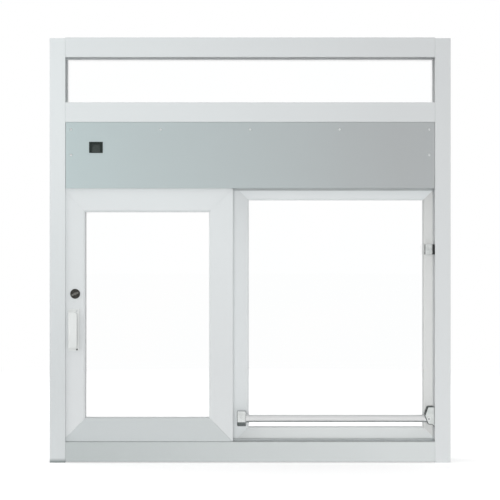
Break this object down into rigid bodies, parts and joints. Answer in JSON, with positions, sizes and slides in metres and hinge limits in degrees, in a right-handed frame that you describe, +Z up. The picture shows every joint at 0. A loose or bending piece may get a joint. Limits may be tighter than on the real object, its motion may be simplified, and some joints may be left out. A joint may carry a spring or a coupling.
{
  "type": "concession service window with a sliding sash",
  "caption": "Aluminium service window with a transom light, grey header cover, sliding sash, fixed panel and a fold-down security bar.",
  "frame": {"origin": "middle of the sill's underside, half-way through the frame's depth", "axes": "+X to the right seen from the room side, +Y out of the room, +Z up"},
  "size_m": [1.2066, 0.1247, 1.2794],
  "materials": {
    "frame_paint": "smooth white powder coat, low gloss",
    "mill_aluminium": "plain extruded aluminium",
    "cover_grey": "flat grey anodised sheet",
    "clear_glass": "clear sheet glass",
    "gasket_rubber": "grey glazing rubber",
    "switch_black": "black moulded plastic",
    "switch_grey": "dark grey moulded plastic",
    "lock_dark": "dark bronze finish",
    "pull_paint": "smooth white powder coat",
    "cast_metal": "polished cast aluminium",
    "bar_satin": "satin drawn tube",
    "pin_steel": "brushed steel",
    "pad_rubber": "black rubber"
  },
  "bodies": {
    "frame": {"left_jamb": "frame_paint", "right_jamb": "frame_paint", "head": "frame_paint", "transom_bar": "frame_paint", "sill": "frame_paint", "sill_guide": "mill_aluminium", "sill_filler": "frame_paint", "header_track": "mill_aluminium", "header_filler": "frame_paint", "header_cleats": "mill_aluminium", "header_cover_inside": "cover_grey", "header_cover_outside": "cover_grey", "transom_glass": "clear_glass", "transom_gaskets": "gasket_rubber", "switch_bezel": "switch_black", "switch_rocker": "switch_grey", "slider_left_stile": "frame_paint", "slider_right_stile": "frame_paint", "slider_top_rail": "frame_paint", "slider_bottom_rail": "frame_paint", "slider_glass": "clear_glass", "slider_gaskets": "gasket_rubber", "fixed_left_stile": "frame_paint", "fixed_right_stile": "frame_paint", "fixed_top_rail": "frame_paint", "fixed_bottom_rail": "frame_paint", "fixed_glass": "clear_glass", "fixed_gaskets": "gasket_rubber", "meeting_seal": "gasket_rubber", "lock_cylinder": "lock_dark", "pull_handle": "pull_paint", "bar_bracket": "cast_metal", "bar_pivot_pin": "pin_steel", "bar_clip": "cast_metal", "clip_pad": "pad_rubber"},
    "security_bar": {"bar_eye": "cast_metal", "bar_tube": "bar_satin", "bar_collar": "bar_satin", "bar_end_block": "cast_metal"},
    "thumbturn": {"thumbturn": "lock_dark"}
  },
  "joints": [
    {"name": "bar_pivot", "type": "hinge", "parent": "frame", "child": "security_bar", "pos_m": [0.53925, -0.0269, 0.1276], "axis": [0, 1, 0], "range_deg": [0, 88.8]},
    {"name": "thumbturn_spin", "type": "hinge", "parent": "frame", "child": "thumbturn", "pos_m": [-0.5272, -0.05215, 0.5052], "axis": [0, 1, 0], "range_deg": [0, 90]}
  ]
}
